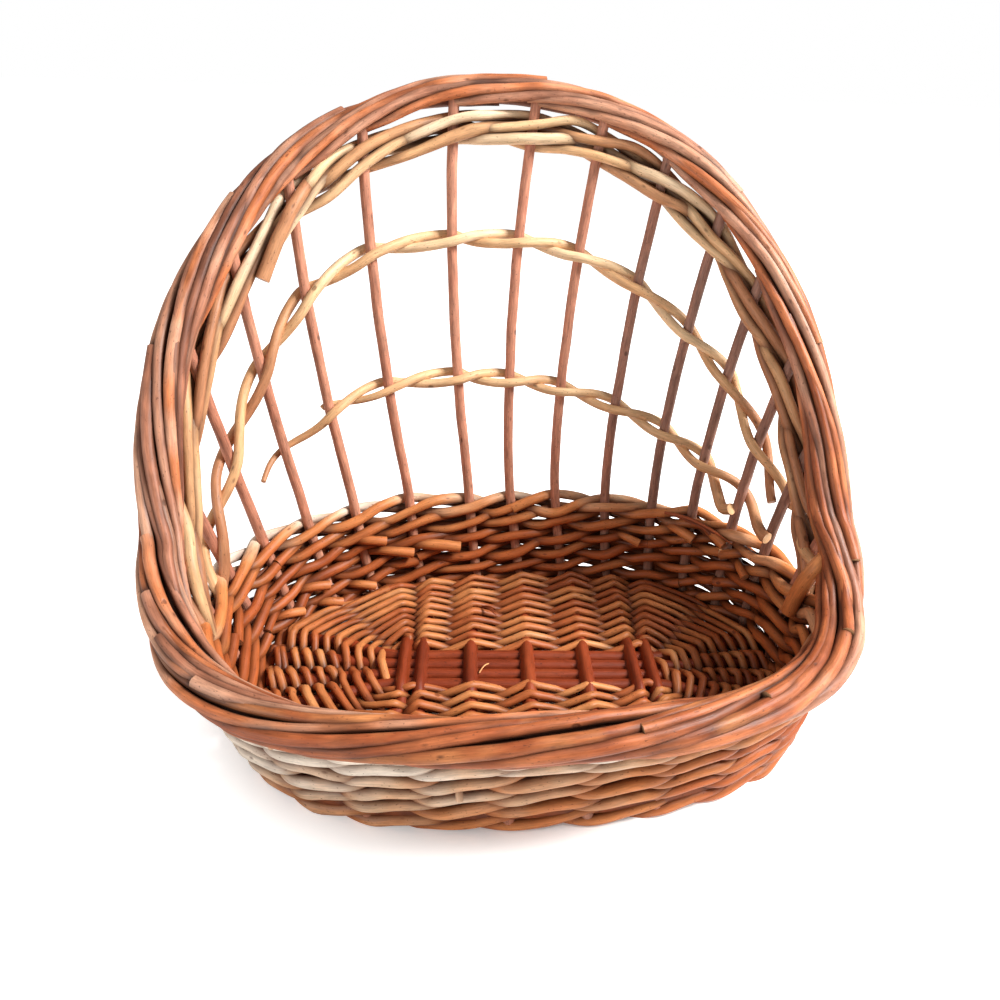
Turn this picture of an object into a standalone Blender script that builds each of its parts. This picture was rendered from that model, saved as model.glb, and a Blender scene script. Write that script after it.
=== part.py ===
"""A free-standing oval willow basket with a low front and a high open hood at the back.

It is built as a basket maker builds it: a cross of base sticks, the weave round them, stakes
that stand up from the base, a low woven wall, two crossed rows and a woven band between the
hood's stakes, and a thick rolled border. Metres, +Z up, the opening faces -Y.
"""

import math

import bmesh
import bpy
import numpy as np
from mathutils import Vector

# The basket's side, along the middle of its weave, at the floor, the rim and the hood's top
BASE_HALF_LENGTH = 0.186
BASE_HALF_DEPTH = 0.120
BASE_LEAN = -0.004
RIM_HEIGHT = 0.097
RIM_HALF_LENGTH = 0.203
RIM_HALF_DEPTH = 0.141
RIM_LEAN = -0.014
RIM_MIDDLE = -0.004
HOOD_HEIGHT = 0.378
HOOD_HALF_LENGTH = 0.243
HOOD_BACK = 0.181
HOOD_MIDDLE = -0.195
HOOD_LEAN = -0.008
BASE_FULLNESS = 2.53
RIM_FULLNESS = 2.36
HOOD_FULLNESS = 2.78

# Fits
GAP = 0.0003
SEAT_GAP = 0.0004
OVERRUN = 0.010

# Base cross: short sticks lie over long ones that pass through slits in them
BASE_THICKNESS = 0.020
CROSS_TURN = math.radians(-4.6)
LONG_STICKS = 4
LONG_STICK_HALF = 0.0046
LONG_STICK_GAP = 0.0007
LONG_STICK_SPREAD = 0.022
SPREAD_SHARE = 0.77
SHORT_STICK_HALF = 0.0053
SHORT_STICK_PITCH = 0.0408
SHORT_STICK_SWELL = 0.0060
SHORT_STICK_FAN = 0.016
FAN_STEP_SHARES = (0.35, 0.7)
SLIT_SHOULDER = 0.0012
SWELL_RUN = 0.014
SHORT_SINGLES = 3

# Base weave
CROSS_MARGIN = 0.0035
CROSS_FULLNESS = 6.0
BASE_ROUNDS = 10
BASE_RIDGE = 0.0034
BASE_RELIEF = 0.0070
RELIEF_SPAN = 0.022

# Low wall
WALL_TOP = 0.081
FRONT_START = math.radians(100)
WALL_HALF = 0.0084
WALL_COURSE_COUNT = 6
INNER_COURSE_COUNT = 4
OUTER_SHARES = ((1.0, 0.72), (1.0, 0.42))
INNER_SHARES = ((1.0, 0.48), (0.42, 0.30))

# Stakes: places round the rim, counted from the middle of the back, as shares of its length
HOOD_STAKE_SHARES = (
    -0.210, -0.173, -0.137, -0.102, -0.062, -0.018,
    0.012, 0.045, 0.082, 0.117, 0.147, 0.178, 0.209,
)
FRONT_STAKES = 14
STAKE_HALF = 0.0039
STAKE_FOOT = 0.006
STAKE_STEP = 0.042

# Crossed rows: height at each of the hood's stakes, as shares of the way from the wall's top up
# to the band, and the stakes between which they run
UPPER_ROW_SHARES = (
    0.31, 0.55, 0.69, 0.775, 0.785, 0.763, 0.758, 0.753, 0.738, 0.717, 0.716, 0.66, 0.60,
)
LOWER_ROW_SHARES = (
    0.22, 0.21, 0.312, 0.376, 0.382, 0.375, 0.364, 0.353, 0.335, 0.313, 0.279, 0.242, 0.20,
)
ROW_RADIUS = 0.0034
ROW_STEPS = 4
UPPER_ROW_SPAN = (-0.25, 12.25)
LOWER_ROW_SPAN = (1.45, 11.6)

# Border: a bundle of rods; its middle line's height, and how that falls at even steps from the
# back to the front
BORDER_TOP = 0.370
BORDER_FRONT = 0.100
BORDER_FALL_SHARES = (
    1.0, 0.94, 0.828, 0.67, 0.49, 0.288, 0.096, 0.0, -0.03, -0.033, -0.022, -0.007, 0.0,
)
BORDER_HALF_HEIGHT = 0.0112
BORDER_HALF_WIDTH = 0.0145
BORDER_GROOVE = 0.0020
BORDER_OUTSET = 0.003
BORDER_RODS = 4
BORDER_QUARTER_TURNS = 14
BORDER_STEPS = 80
BORDER_SIDES = 10

# Band of waling under the hood's border
BAND_WIDTH = 0.020
BAND_HALF = 0.0074
BAND_RIDGE = 0.0014
BAND_COURSE_COUNT = 2
BAND_END = math.radians(97)
BAND_SEGMENTS = 36

# Colours of the willow
STICK_COLOUR = (0.42, 0.12, 0.04, 1)
BASE_COLOUR = (0.55, 0.25, 0.08, 1)
WALL_COLOUR = (0.52, 0.25, 0.10, 1)
STAKE_COLOUR = (0.38, 0.15, 0.10, 1)
ROW_COLOUR = (0.68, 0.42, 0.20, 1)
BORDER_COLOUR = (0.45, 0.20, 0.11, 1)
WILLOW_ROUGHNESS = 0.55
OCTAGON = 8
HALF_SIDE = math.pi / OCTAGON


for old in list(bpy.data.objects):
    bpy.data.objects.remove(old, do_unlink=True)


def willow(name, colour):
    """A plain willow finish."""
    material = bpy.data.materials.new(name)
    material.use_nodes = True
    shader = material.node_tree.nodes["Principled BSDF"]
    shader.inputs["Base Color"].default_value = colour
    shader.inputs["Roughness"].default_value = WILLOW_ROUGHNESS
    shader.inputs["Metallic"].default_value = 0
    return material


def skin(name, rings, looped, colour):
    """One closed body through rings of points; a looped one has no ends to close."""
    mesh = bmesh.new()
    rows = [[mesh.verts.new(point) for point in ring] for ring in rings]
    pairs = list(zip(rows, rows[1:] + rows[:1])) if looped else list(zip(rows, rows[1:]))
    for one, two in pairs:
        for k in range(len(one)):
            after = (k + 1) % len(one)
            mesh.faces.new((one[k], one[after], two[after]))
            mesh.faces.new((one[k], two[after], two[k]))
    if not looped:
        mesh.faces.new(rows[0])
        mesh.faces.new(rows[-1])
    bmesh.ops.recalc_face_normals(mesh, faces=mesh.faces)
    data = bpy.data.meshes.new(name)
    mesh.to_mesh(data)
    mesh.free()
    made = bpy.data.objects.new(name, data)
    data.materials.append(willow(name, colour))
    bpy.context.scene.collection.objects.link(made)
    return made


def joined_cutter(name, parts):
    """Closed bodies that don't meet, as one hidden cutter."""
    mesh = bmesh.new()
    for part in parts:
        mesh.from_mesh(part.data)
        bpy.data.objects.remove(part, do_unlink=True)
    data = bpy.data.meshes.new(name)
    mesh.to_mesh(data)
    mesh.free()
    cutter = bpy.data.objects.new(name, data)
    cutter.hide_render = True
    cutter.display_type = "WIRE"
    bpy.context.scene.collection.objects.link(cutter)
    return cutter


def cut(target, cutter):
    """Leaves room in a woven body for what passes through it."""
    boolean = target.modifiers.new(cutter.name, "BOOLEAN")
    boolean.operation = "DIFFERENCE"
    boolean.solver = "EXACT"
    boolean.object = cutter


def signed_power(value, power):
    return math.copysign(abs(value) ** power, value)


def by_height(height, floor, rim, hood):
    """A size that runs smoothly through its values at the floor, the rim and the hood's top."""
    return (
        floor * (height - RIM_HEIGHT) * (height - HOOD_HEIGHT) / (RIM_HEIGHT * HOOD_HEIGHT)
        - rim * height * (height - HOOD_HEIGHT) / (RIM_HEIGHT * (HOOD_HEIGHT - RIM_HEIGHT))
        + hood * height * (height - RIM_HEIGHT) / (HOOD_HEIGHT * (HOOD_HEIGHT - RIM_HEIGHT))
    )


def side_frame(angle, height):
    """A point of the side and the level direction out of it. Angle 0 is the middle of the back."""
    length = by_height(height, BASE_HALF_LENGTH, RIM_HALF_LENGTH, HOOD_HALF_LENGTH)
    depth = by_height(height, BASE_HALF_DEPTH, RIM_HALF_DEPTH, HOOD_BACK - HOOD_MIDDLE)
    middle_x = by_height(height, BASE_LEAN, RIM_LEAN, HOOD_LEAN)
    middle_y = by_height(height, 0, RIM_MIDDLE, HOOD_MIDDLE)
    levels = (0, RIM_HEIGHT, HOOD_HEIGHT)
    power = 2 / np.interp(height, levels, (BASE_FULLNESS, RIM_FULLNESS, HOOD_FULLNESS))
    sine, cosine = math.sin(angle), math.cos(angle)
    x = middle_x + length * signed_power(sine, power)
    y = middle_y + depth * signed_power(cosine, power)
    out_x = signed_power(sine, 2 - power) / length
    out_y = signed_power(cosine, 2 - power) / depth
    return Vector((x, y, height)), Vector((out_x, out_y, 0)).normalized()


def side_point(angle, height, offset=0.0):
    point, outward = side_frame(angle, height)
    return point + outward * offset


def even_values(curve, start, end, count, looped=False):
    """Values between start and end at which the curve's points are evenly spaced."""
    fine = np.linspace(start, end, 1441)
    points = np.array([curve(value) for value in fine])
    steps = np.linalg.norm(np.diff(points, axis=0), axis=1)
    lengths = np.concatenate(([0], np.cumsum(steps)))
    wanted = np.linspace(0, lengths[-1], count, endpoint=not looped)
    return np.interp(wanted, lengths, fine)


def rim_angle(share):
    """The angle at a share of the rim's length from the middle of the back."""
    return float(np.interp(abs(share) % 1, RIM_SHARES, RIM_ANGLES)) * (-1 if share < 0 else 1)


RIM_SHARES = np.linspace(0, 1, 1000)
RIM_ANGLES = even_values(
    lambda angle: side_point(angle, RIM_HEIGHT), 0, 2 * math.pi, len(RIM_SHARES)
)


def turned(angle):
    """How far round an angle lies from the middle of the back, on either side."""
    return abs((angle + math.pi) % (2 * math.pi) - math.pi)


def border_height(angle):
    """The border's height, smooth through its shares and alike on both sides."""
    last = len(BORDER_FALL_SHARES) - 1
    place = turned(angle) / math.pi * last
    first = min(int(place), last - 1)
    t = place - first
    before, one, two, after = (
        BORDER_FALL_SHARES[last - abs(last - abs(first + k))] for k in (-1, 0, 1, 2)
    )
    bend = 2 * before - 5 * one + 4 * two - after + t * (3 * (one - two) + after - before)
    share = one + 0.5 * t * (two - before + t * bend)
    return BORDER_FRONT + (BORDER_TOP - BORDER_FRONT) * share


def border_slope(angle):
    """How steeply the border climbs there."""
    step = math.radians(1)
    low, high = angle - step, angle + step
    run = (side_point(high, RIM_HEIGHT) - side_point(low, RIM_HEIGHT)).length
    return (border_height(high) - border_height(low)) / run


def under_border(angle):
    """Height of the border's underside, with the gap below it."""
    steepness = math.hypot(1, border_slope(angle))
    return border_height(angle) - (BORDER_HALF_HEIGHT + SEAT_GAP) * steepness


def band_low(angle):
    """Height of the hood band's lower edge."""
    return max(under_border(angle) - BAND_WIDTH, WALL_TOP + SEAT_GAP)


def wall_top(angle):
    """The wall ends low under the open hood, and meets the border round the front."""
    closed = turned(angle) > FRONT_START
    return under_border(angle) if closed else min(WALL_TOP, under_border(angle))


def flat_octagon(half_width, half_height):
    """An octagon whose flat sides lie at the half width and the half height."""
    turns = [HALF_SIDE + 2 * HALF_SIDE * k for k in range(OCTAGON)]
    reach = 1 / math.cos(HALF_SIDE)
    return [(half_width * reach * math.cos(t), half_height * reach * math.sin(t)) for t in turns]


def swept(path, sections, sideways):
    """Rings of a section along a path, turned so that its first axis points sideways."""
    rings = []
    for k, point in enumerate(path):
        ahead = path[min(k + 1, len(path) - 1)] - path[max(k - 1, 0)]
        along = ahead.normalized()
        across = (sideways[k] - along * sideways[k].dot(along)).normalized()
        third = along.cross(across)
        rings.append([point + across * u + third * v for u, v in sections[k]])
    return rings


def lengthened(rings, path, overrun):
    """The rings with both ends moved on along the path's own end directions."""
    before = (path[0] - path[1]).normalized() * overrun
    after = (path[-1] - path[-2]).normalized() * overrun
    first = [point + before for point in rings[0]]
    last = [point + after for point in rings[-1]]
    return [first] + rings[1:-1] + [last]


# Base sticks

TURN_X = Vector((math.cos(CROSS_TURN), math.sin(CROSS_TURN), 0))
TURN_Y = Vector((-math.sin(CROSS_TURN), math.cos(CROSS_TURN), 0))
STICK_LEVEL = Vector((0, 0, BASE_THICKNESS / 2))
LONG_STICK_PITCH = 2 * LONG_STICK_HALF + LONG_STICK_GAP
SHORT_STICK_PAIR = 2 * SHORT_STICK_SWELL + GAP
END_PAIR = SHORT_STICK_PITCH * (SHORT_SINGLES + 1) / 2
CROSS_HALF_LENGTH = END_PAIR + SHORT_STICK_PAIR / 2 + SHORT_STICK_SWELL + CROSS_MARGIN
SLIT_HALF = LONG_STICK_PITCH * (LONG_STICKS - 1) / 2 + LONG_STICK_HALF + GAP


def reach_to_edge(start, direction, half):
    """How far a stick of some half width can run from a point, before it meets the wall."""
    aside = Vector((-direction.y, direction.x, 0)) * half
    return min(reach_of_line(start - aside, direction), reach_of_line(start + aside, direction))


def reach_of_line(start, direction):
    inset = WALL_HALF + GAP + SEAT_GAP
    near, far = 0, BASE_HALF_LENGTH + BASE_HALF_DEPTH
    for _ in range(40):
        middle = (near + far) / 2
        place = start + direction * middle
        length = BASE_HALF_LENGTH - inset
        depth = BASE_HALF_DEPTH - inset
        x = abs(place.x - BASE_LEAN) / length
        inside = x**BASE_FULLNESS + (abs(place.y) / depth) ** BASE_FULLNESS < 1
        near, far = (middle, far) if inside else (near, middle)
    return near


def long_stick(name, row, clearance=0.0, overrun=0.0):
    """A long stick: straight through the slits, then spread out to the base's ends."""
    half = LONG_STICK_HALF + clearance
    inner = row * LONG_STICK_PITCH
    outer = row * LONG_STICK_SPREAD
    straight = END_PAIR + SHORT_STICK_PAIR / 2 + SHORT_STICK_SWELL
    path = []
    for side in (-1, 1):
        reach = reach_to_edge(TURN_Y * outer, TURN_X * side, half) + overrun
        spread_length = (reach - overrun - straight) * SPREAD_SHARE
        run = [(straight + spread_length * t, t) for t in (0, 1 / 3, 2 / 3, 1)]
        run.append((reach, 1))
        spread = [(x, inner + (outer - inner) * t * t * (3 - 2 * t)) for x, t in run]
        points = [STICK_LEVEL + TURN_X * (side * x) + TURN_Y * y for x, y in spread]
        path = points[::-1] if side < 0 else path + points
    section = flat_octagon(half, half)
    rings = swept(path, [section] * len(path), [TURN_Y] * len(path))
    return skin(name, rings, False, STICK_COLOUR)


def short_stick(name, place, fan, clearance=0.0, overrun=0.0):
    """A short stick across the base, swollen where its slit takes the long ones.

    The outermost ones fan out sideways beyond the cross.
    """
    start = TURN_X * place
    slim = SHORT_STICK_HALF + clearance
    swell = SHORT_STICK_SWELL + clearance
    tall = BASE_THICKNESS / 2 + clearance
    full = SLIT_HALF + SLIT_SHOULDER
    path, sections = [], []
    for side in (-1, 1):
        reach = reach_to_edge(start + TURN_X * fan, TURN_Y * side, SHORT_STICK_HALF)
        stations = [(full, swell, tall, 0.0), (full + SWELL_RUN, slim, slim, 0.0)]
        rest = reach - full - SWELL_RUN
        stations += [(full + SWELL_RUN + rest * t, slim, slim, t * (2 - t)) for t in FAN_STEP_SHARES]
        stations.append((reach, slim, slim, 1.0))
        points = [STICK_LEVEL + start + TURN_X * (fan * t) + TURN_Y * (side * y) for y, _, _, t in stations]
        shapes = [flat_octagon(wide, high) for _, wide, high, _ in stations]
        path = points[::-1] if side < 0 else path + points
        sections = shapes[::-1] if side < 0 else sections + shapes
    rings = swept(path, sections, [TURN_X] * len(path))
    return skin(name, lengthened(rings, path, overrun), False, STICK_COLOUR)


def slit_cutter(name, place):
    """The slit through a short stick, with clearance round the long ones."""
    half_height = LONG_STICK_HALF + GAP
    corners = ((-1, -1), (1, -1), (1, 1), (-1, 1))
    rings = [
        [
            STICK_LEVEL + TURN_X * (place + side * OVERRUN)
            + TURN_Y * (y * SLIT_HALF) + Vector((0, 0, z * half_height))
            for y, z in corners
        ]
        for side in (-1, 1)
    ]
    return skin(name, rings, False, STICK_COLOUR)


LONG_ROWS = [k - (LONG_STICKS - 1) / 2 for k in range(LONG_STICKS)]
singles = [SHORT_STICK_PITCH * (k - (SHORT_SINGLES - 1) / 2) for k in range(SHORT_SINGLES)]
pair = (-SHORT_STICK_PAIR / 2, SHORT_STICK_PAIR / 2)
SHORT_PLACES = [-END_PAIR + p for p in pair] + singles + [END_PAIR + p for p in pair]
SHORT_FANS = [-SHORT_STICK_FAN] + [0] * (len(SHORT_PLACES) - 2) + [SHORT_STICK_FAN]

for k, row in enumerate(LONG_ROWS):
    long_stick(f"base_long_stick_{k + 1}", row)
for k, place in enumerate(SHORT_PLACES):
    stick = short_stick(f"base_short_stick_{k + 1}", place, SHORT_FANS[k])
    slit = joined_cutter(f"slit_{k + 1}", [slit_cutter("slit", place)])
    cut(stick, slit)


# Stakes' places, and the wall's stations: at each stake, between each two, and where the hood ends.
# Each has its share of the way aside from the stakes

last_hood = HOOD_STAKE_SHARES[-1]
front_step = (1 + HOOD_STAKE_SHARES[0] - last_hood) / (FRONT_STAKES + 1)
front_shares = [last_hood + front_step * (k + 1) for k in range(FRONT_STAKES)]
STAKE_SHARES = list(HOOD_STAKE_SHARES) + front_shares
STAKE_ANGLES = [rim_angle(share) for share in STAKE_SHARES]
HOOD_STAKES = len(HOOD_STAKE_SHARES)
RING = []
for one, two in zip(STAKE_SHARES, STAKE_SHARES[1:] + [1 + STAKE_SHARES[0]]):
    RING += [(rim_angle(one), 0.0), (rim_angle((one + two) / 2), 1.0)]
plain_ring = RING + [(RING[0][0] + 2 * math.pi, 0.0)]
for turn in (FRONT_START, 2 * math.pi - FRONT_START):
    RING.append((turn, float(np.interp(turn, *zip(*plain_ring)))))
RING.sort()
RING_ANGLES = [angle for angle, _ in RING]


# Base weave: rounds of rods from the cross out to the wall. They rise over each stick and dip
# between, and are flat underneath


def cross_edge(angle):
    """The edge of the opening that shows the crossed sticks."""
    power = 2 / CROSS_FULLNESS
    half_depth = SLIT_HALF + CROSS_MARGIN
    x = CROSS_HALF_LENGTH * signed_power(math.sin(angle), power)
    return TURN_X * x + TURN_Y * (half_depth * signed_power(math.cos(angle), power))


def wall_foot(angle, height):
    """A point of the wall's inner foot, clear of it, on the straight lines between its stations."""
    turn = RING_ANGLES[0] + (angle - RING_ANGLES[0]) % (2 * math.pi)
    around = RING_ANGLES + [RING_ANGLES[0] + 2 * math.pi]
    k = max(n for n, station in enumerate(around[:-1]) if station <= turn)
    ends = [side_point(around[n], height, -WALL_HALF - GAP) for n in (k, k + 1)]
    return ends[0].lerp(ends[1], (turn - around[k]) / (around[k + 1] - around[k]))


def angles_of(curve, points):
    """The angles at which a closed curve comes nearest to points, in order round it."""
    fine = np.linspace(-math.pi, math.pi, 1440, endpoint=False)
    line = np.array([curve(angle) for angle in fine])
    found = []
    for point in points:
        angle = float(fine[np.argmin(np.linalg.norm(line - np.array(point), axis=1))])
        while found and angle < found[-1]:
            angle += 2 * math.pi
        found.append(angle)
    return found


def between(curve, angle, after, t):
    """The angle at a share of the curve's length between two angles."""
    fine = np.linspace(angle, after, 25)
    points = np.array([curve(value) for value in fine])
    lengths = np.concatenate(([0], np.cumsum(np.linalg.norm(np.diff(points, axis=0), axis=1))))
    return float(np.interp(t * lengths[-1], lengths, fine))


def base_spokes():
    """Where the sticks leave the cross and where they meet the wall, clockwise from the back."""
    inner, outer = [], []
    for side in (1, -1):
        for place, fan in list(zip(SHORT_PLACES, SHORT_FANS))[::side]:
            start = TURN_X * place + TURN_Y * (side * (SLIT_HALF + CROSS_MARGIN))
            inner.append(start)
            outer.append(start + TURN_X * fan + TURN_Y * (side * BASE_HALF_DEPTH))
        for row in LONG_ROWS[::-side]:
            inner.append(TURN_X * (side * CROSS_HALF_LENGTH) + TURN_Y * (row * LONG_STICK_PITCH))
            outer.append(TURN_X * (side * BASE_HALF_LENGTH) + TURN_Y * (row * LONG_STICK_SPREAD))
    return inner, outer


def floor_edge(angle):
    return side_point(angle, 0, -WALL_HALF)


def base_stations():
    """Angles on the cross and the wall, with the share of the way from one stick to the next."""
    inner, outer = base_spokes()
    near, far = angles_of(cross_edge, inner), angles_of(floor_edge, outer)
    near.append(near[0] + 2 * math.pi)
    far.append(far[0] + 2 * math.pi)
    stations = []
    for k in range(len(inner)):
        span = (cross_edge(near[k + 1]) - cross_edge(near[k])).length
        reach = (floor_edge(far[k + 1]) - floor_edge(far[k])).length
        shares = (0, 0.25, 0.5, 0.75) if reach > 2 * RELIEF_SPAN else (0, 0.5)
        for t in shares:
            inner_angle = between(cross_edge, near[k], near[k + 1], t)
            outer_angle = between(floor_edge, far[k], far[k + 1], t)
            stations.append((inner_angle, outer_angle, 1 - abs(1 - 2 * t), span, reach))
    return stations


def base_section(station):
    """The cut through the base weave, from the cross out along its top and back."""
    inner_angle, outer_angle, aside, span, reach = station
    outer_low = wall_foot(outer_angle, 0)
    outer_high = wall_foot(outer_angle, BASE_THICKNESS)
    inner = cross_edge(inner_angle)
    up = Vector((0, 0, BASE_THICKNESS))
    points = [inner.copy()]
    last = 2 * (BASE_ROUNDS - 1)
    for k in range(last + 1):
        share = k / last
        width = span + (reach - span) * share
        dip = BASE_RELIEF * aside * min(1, width / RELIEF_SPAN)
        top = (inner + up).lerp(outer_low.lerp(outer_high, 1 - dip / BASE_THICKNESS), share)
        top.z = BASE_THICKNESS - dip
        top.z -= BASE_RIDGE if k % 2 and k > 1 else 0
        points.append(top)
    points.append(outer_low)
    return points


base_weave = skin("base_weave", [base_section(station) for station in base_stations()], True, BASE_COLOUR)
cut(base_weave, joined_cutter(
    "long_stick_room", [long_stick(f"room_{k}", row, GAP, OVERRUN) for k, row in enumerate(LONG_ROWS)]
))
for k in range(2):
    bent = list(zip(SHORT_PLACES, SHORT_FANS))[k::2]
    rooms = [short_stick("room", place, fan, GAP, OVERRUN) for place, fan in bent]
    cut(base_weave, joined_cutter(f"short_stick_room_{k + 1}", rooms))


# Stakes: upright rods, from a foot in the wall to the underside of the border

def stake(name, angle, clearance=0.0, overrun=0.0):
    """One stake, bent to the basket's side."""
    half = STAKE_HALF + clearance
    top = under_border(angle) - STAKE_HALF * abs(border_slope(angle))
    count = max(3, round((top - STAKE_FOOT) / STAKE_STEP) + 1)
    heights = [STAKE_FOOT + (top - STAKE_FOOT) * k / (count - 1) for k in range(count)]
    frames = [side_frame(angle, height) for height in heights]
    section = flat_octagon(half, half)
    path = [point for point, _ in frames]
    rings = swept(path, [section] * count, [outward for _, outward in frames])
    down = (path[0] - path[1]).normalized() * clearance
    up = (path[-1] - path[-2]).normalized() * overrun
    rings[0] = [point + down for point in rings[0]]
    rings[-1] = [point + up for point in rings[-1]]
    return skin(name, rings, False, STAKE_COLOUR)


for k, angle in enumerate(STAKE_ANGLES):
    stake(f"stake_{k + 1:02d}", angle)
stake_room = joined_cutter(
    "stake_room", [stake(f"room_{k}", angle, GAP, OVERRUN) for k, angle in enumerate(STAKE_ANGLES)]
)


# Low wall: courses of waling in front of and behind the stakes


def courses(low, high, count, offset, ridge):
    """Ridges of a woven face, one to a course, from a low height to a high one."""
    points = [(offset - math.copysign(ridge, offset), low)]
    for k in range(count):
        points.append((offset, low + (high - low) * (k + 0.5) / count))
        points.append((offset - math.copysign(ridge, offset), low + (high - low) * (k + 1) / count))
    return points


def relief(low, high, count, half, shares, aside):
    """A woven face: each course stands out in its middle and falls back where it meets the next."""
    ridge, valley = ((1 - aside) * shares[0][k] + aside * shares[1][k] for k in (0, 1))
    points = [(half * valley, low)]
    for k in range(count):
        points.append((half * ridge, low + (high - low) * (k + 0.5) / count))
        points.append((half * valley, low + (high - low) * (k + 1) / count))
    return points


def wall_section(angle, aside):
    """The cut through the wall, which is thinner between the stakes."""
    top = wall_top(angle)
    outer = relief(0, top, WALL_COURSE_COUNT, WALL_HALF, OUTER_SHARES, aside)
    low = top * (1 - INNER_COURSE_COUNT / WALL_COURSE_COUNT)
    inner = [(-WALL_HALF, 0), (-WALL_HALF, BASE_THICKNESS)]
    inner += relief(low, top, INNER_COURSE_COUNT, -WALL_HALF, INNER_SHARES, aside)
    return [side_point(angle, z, offset) for offset, z in outer + inner[::-1]]


wall_weave = skin("wall_weave", [wall_section(*station) for station in RING], True, WALL_COLOUR)
cut(wall_weave, stake_room)


# Crossed rows: two rods that twist round each other between the hood's stakes


def beyond_ends(values):
    """The values with one more at each end, at the same step as the last."""
    return [2 * values[0] - values[1]] + list(values) + [2 * values[-1] - values[-2]]


def row_rod(name, row_shares, span, first_side):
    """One rod of a crossed row: outside one stake, inside the next, round its fellow between."""
    floor = WALL_TOP + ROW_RADIUS / math.cos(HALF_SIDE) + SEAT_GAP
    beside = (STAKE_HALF + ROW_RADIUS) / math.cos(HALF_SIDE) + SEAT_GAP
    across = ROW_RADIUS + GAP
    first, last = span
    inner = np.arange(math.ceil(first * ROW_STEPS), math.floor(last * ROW_STEPS) + 1) / ROW_STEPS
    places = sorted(set(list(inner) + [first, last]))
    numbers = list(range(-2, HOOD_STAKES + 2))
    angles = [angle - 2 * math.pi for angle in STAKE_ANGLES[-2:]] + STAKE_ANGLES[:HOOD_STAKES + 2]
    shares = beyond_ends(beyond_ends(row_shares))
    middle_line, outs, turns = [], [], []
    for place in places:
        angle = float(np.interp(place, numbers, angles))
        share = float(np.interp(place, numbers, shares))
        height = WALL_TOP + share * (band_low(angle) - WALL_TOP)
        point, outward = side_frame(angle, max(height, floor))
        middle_line.append(point)
        outs.append(outward)
        turns.append(math.pi * place)
    path = []
    for k, point in enumerate(middle_line):
        along = middle_line[min(k + 1, len(places) - 1)] - middle_line[max(k - 1, 0)]
        upward = outs[k].cross(along.normalized()).normalized()
        shifted = point + outs[k] * (first_side * beside * math.cos(turns[k]))
        shifted += upward * (first_side * across * math.sin(turns[k]))
        shifted.z = max(shifted.z, floor)
        path.append(shifted)
    circle = [2 * math.pi * k / 6 for k in range(6)]
    section = [(ROW_RADIUS * math.cos(t), ROW_RADIUS * math.sin(t)) for t in circle]
    return skin(name, swept(path, [section] * len(path), outs), False, ROW_COLOUR)


row_rod("upper_row_rod_1", UPPER_ROW_SHARES, UPPER_ROW_SPAN, 1)
row_rod("upper_row_rod_2", UPPER_ROW_SHARES, UPPER_ROW_SPAN, -1)
row_rod("lower_row_rod_1", LOWER_ROW_SHARES, LOWER_ROW_SPAN, 1)
row_rod("lower_row_rod_2", LOWER_ROW_SHARES, LOWER_ROW_SPAN, -1)


# Hood band: courses of waling just under the border


def band_section(angle):
    top = under_border(angle)
    low = band_low(angle)
    outer = courses(low, top, BAND_COURSE_COUNT, BAND_HALF, BAND_RIDGE)
    inner = courses(low, top, BAND_COURSE_COUNT, -BAND_HALF, BAND_RIDGE)
    return [side_point(angle, z, offset) for offset, z in outer + inner[::-1]]


def under_border_line(angle):
    return side_point(angle, under_border(angle))


band_angles = even_values(under_border_line, -BAND_END, BAND_END, BAND_SEGMENTS)
hood_band = skin("hood_band", [band_section(a) for a in band_angles], False, ROW_COLOUR)
cut(hood_band, stake_room)


# Border: rods laid side by side and rolled round the whole rim


def border_line(angle):
    return side_point(angle, border_height(angle), BORDER_OUTSET)


def border_rings():
    angles = even_values(border_line, -math.pi, math.pi, BORDER_STEPS, looped=True)
    path = [border_line(angle) for angle in angles]
    rings = []
    for k, angle in enumerate(angles):
        along = (path[(k + 1) % BORDER_STEPS] - path[k - 1]).normalized()
        outward = side_frame(angle, border_height(angle))[1]
        outward = (outward - along * outward.dot(along)).normalized()
        upward = along.cross(outward)
        twist = math.pi / 2 * BORDER_QUARTER_TURNS * k / BORDER_STEPS
        ring = []
        for side in range(BORDER_SIDES):
            turn = 2 * math.pi * side / BORDER_SIDES
            dip = BORDER_GROOVE * (1 - math.cos(BORDER_RODS * (turn - twist))) / 2
            wide, high = BORDER_HALF_WIDTH - dip, BORDER_HALF_HEIGHT - dip
            ring.append(path[k] + outward * (wide * math.cos(turn)) + upward * (high * math.sin(turn)))
        rings.append(ring)
    return rings


skin("border", border_rings(), True, BORDER_COLOUR)

for made in bpy.context.scene.objects:
    made.data.shade_smooth()
    made.data.set_sharp_from_angle(angle=math.radians(50))
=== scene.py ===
import math

import bpy
import numpy as np
from mathutils import Matrix, Vector


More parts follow.
